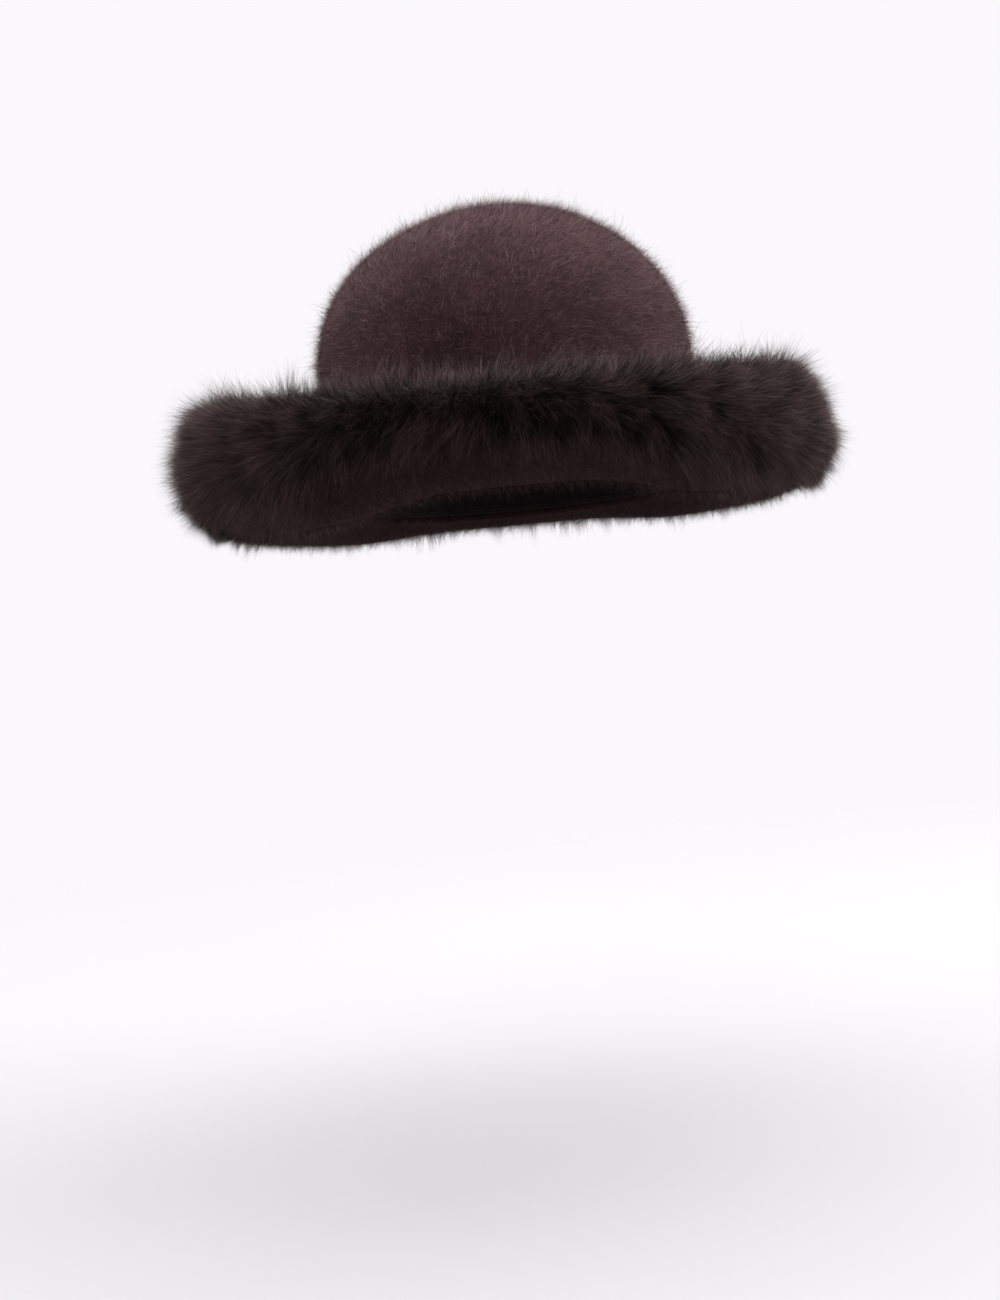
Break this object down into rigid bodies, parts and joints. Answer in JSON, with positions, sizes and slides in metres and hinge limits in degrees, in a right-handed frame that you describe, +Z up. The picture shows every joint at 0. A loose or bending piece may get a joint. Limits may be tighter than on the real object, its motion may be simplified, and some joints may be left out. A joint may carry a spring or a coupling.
{
  "type": "bowler hat",
  "caption": "Rounded long-hair felt hat with an upright domed crown and a turned-up brim edged in a thick band of dark fur, lined inside.",
  "frame": {"origin": "on the table under the middle of the hat's box, with the hat standing on its brim", "axes": "+Z up along the crown, front towards -Y, +X to the right of someone who faces the front"},
  "size_m": [0.3025, 0.3373, 0.1425],
  "materials": {
    "felt": "long-hair felt, matt, dusty plum brown",
    "fur": "dense dyed fur, very dark brown",
    "cotton": "cotton-covered wire",
    "brass": "plain brass",
    "ribbon": "ribbed petersham ribbon",
    "satin": "satin",
    "thread": "sewing thread",
    "tape": "woven cotton tape, blank"
  },
  "bodies": {
    "root": {"crown": "felt", "brim": "felt", "fur_front": "fur", "fur_right": "fur", "fur_left": "fur", "brim_wire": "cotton", "wire_joiner": "brass", "sweatband": "ribbon", "sweatband_bow": "ribbon", "lining_side": "satin", "lining_tip": "satin", "size_label": "tape", "crown_stitching": "thread", "sweatband_stitching": "thread", "fur_stitching_outer": "thread", "fur_stitching_inner": "thread"}
  },
  "joints": []
}
